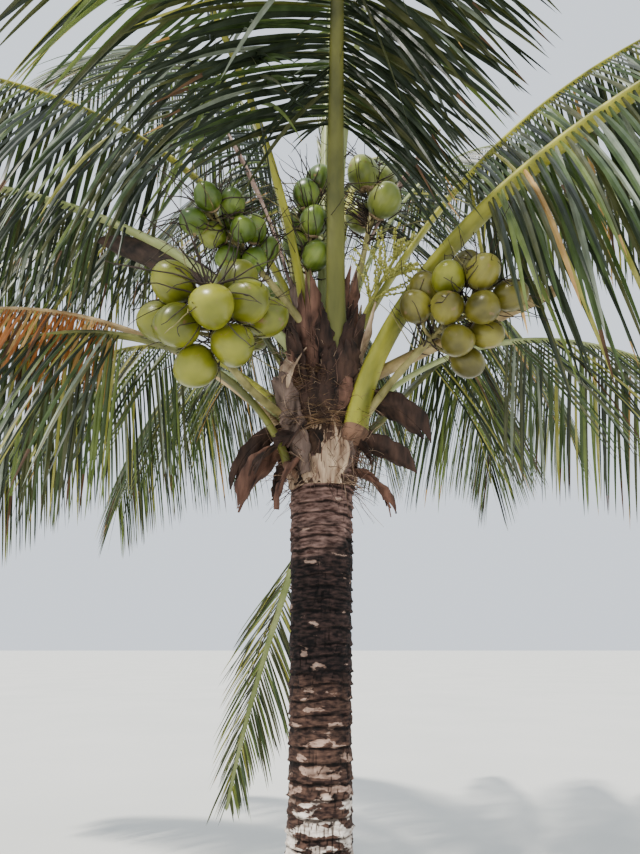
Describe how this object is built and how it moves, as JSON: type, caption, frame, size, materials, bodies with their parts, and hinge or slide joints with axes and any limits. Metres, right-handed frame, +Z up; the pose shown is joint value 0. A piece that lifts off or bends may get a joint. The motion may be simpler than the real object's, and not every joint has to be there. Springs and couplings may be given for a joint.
{
  "type": "coconut palm tree",
  "caption": "Coconut palm tree with a ringed trunk, arching feathery fronds, bunches of green nuts, woody spathes and torn old leaf bases.",
  "frame": {"origin": "middle of the flat cut under the trunk, at ground level", "axes": "+Z up along the trunk, -Y towards the side with the largest bunch of nuts, the side that the picture shows, +X to the right in the picture"},
  "size_m": [7.6177, 7.1273, 6.2495],
  "materials": {
    "trunk_bark": "rough brown bark with ring scars, dark patches and pale flakes",
    "green_leaf": "leathery green leaflets on a yellow-green rib",
    "dry_leaf": "dry orange-brown leaflets on a straw rib",
    "nut_skin": "smooth waxy yellow-green husk",
    "flower_cream": "beaded yellow-cream flower branches",
    "stalk_tan": "weathered tan leaf stalk",
    "spathe_brown": "dry woody ribbed spathe",
    "leaf_base_fibre": "torn fibrous leaf base, grey-brown"
  },
  "bodies": {
    "root": {"cut_stalk": "stalk_tan", "flower_spray": "flower_cream", "frond_back_hanging": "green_leaf", "frond_back_high": "green_leaf", "frond_back_inner": "green_leaf", "frond_back_left_fan": "green_leaf", "frond_back_left_high": "green_leaf", "frond_back_left_low": "green_leaf", "frond_back_left_low_end": "green_leaf", "frond_back_left_mid": "green_leaf", "frond_back_mid": "green_leaf", "frond_back_right_high": "green_leaf", "frond_back_right_mid": "green_leaf", "frond_front_high": "green_leaf", "frond_front_high_end": "green_leaf", "frond_front_left_high": "green_leaf", "frond_front_right_high": "green_leaf", "frond_front_right_high_end": "green_leaf", "frond_left_back_mid": "green_leaf", "frond_left_dry": "dry_leaf", "frond_left_dry_end": "dry_leaf", "frond_left_high": "green_leaf", "frond_left_high_end": "green_leaf", "frond_left_low": "green_leaf", "frond_left_low_end": "green_leaf", "frond_left_mid": "green_leaf", "frond_left_mid_end": "green_leaf", "frond_right_big": "green_leaf", "frond_right_big_end": "green_leaf", "frond_right_hanging": "green_leaf", "frond_right_high": "green_leaf", "frond_right_low": "green_leaf", "frond_right_low_end": "green_leaf", "frond_spear": "green_leaf", "leaf_base_front": "leaf_base_fibre", "leaf_base_front_left": "leaf_base_fibre", "leaf_base_left": "leaf_base_fibre", "leaf_base_middle": "leaf_base_fibre", "leaf_base_right": "leaf_base_fibre", "leaf_base_right_low": "leaf_base_fibre", "nuts_back": "nut_skin", "nuts_back_left": "nut_skin", "nuts_front_left": "nut_skin", "nuts_middle_left": "nut_skin", "nuts_middle_right": "nut_skin", "nuts_right": "nut_skin", "nuts_upper_left": "nut_skin", "spathe_left": "spathe_brown", "spathe_upper_left": "spathe_brown", "spathe_upper_right": "spathe_brown", "trunk": "trunk_bark"}
  },
  "joints": []
}
